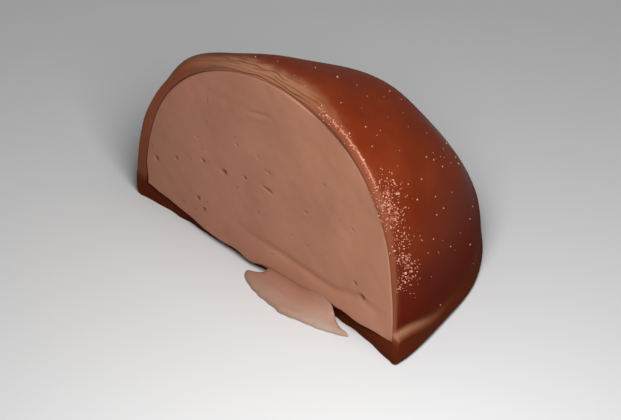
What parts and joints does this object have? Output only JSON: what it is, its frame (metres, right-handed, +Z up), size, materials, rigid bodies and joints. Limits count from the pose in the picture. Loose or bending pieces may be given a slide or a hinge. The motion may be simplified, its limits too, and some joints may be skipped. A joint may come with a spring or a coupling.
{
  "type": "cut chocolate mochi half",
  "caption": "Half of a filled chocolate mochi standing on its base: glossy cocoa dough skin over a solid mousse, cut face to the front, with a smear of filling at its foot.",
  "frame": {"origin": "the middle of the flat underside, 13 mm behind the foot of the cut face", "axes": "+X to the right along the cut as one faces it, +Y from the cut into the dome, +Z up"},
  "size_m": [0.0553, 0.037, 0.0311],
  "materials": {
    "cocoa_dough": "soft moist gloss, slightly translucent, fine grained",
    "milk_chocolate_mousse": "matte, smooth from the knife, with small pits"
  },
  "bodies": {
    "root": {"mochi_skin": "cocoa_dough", "mousse_filling": "milk_chocolate_mousse"}
  },
  "joints": []
}
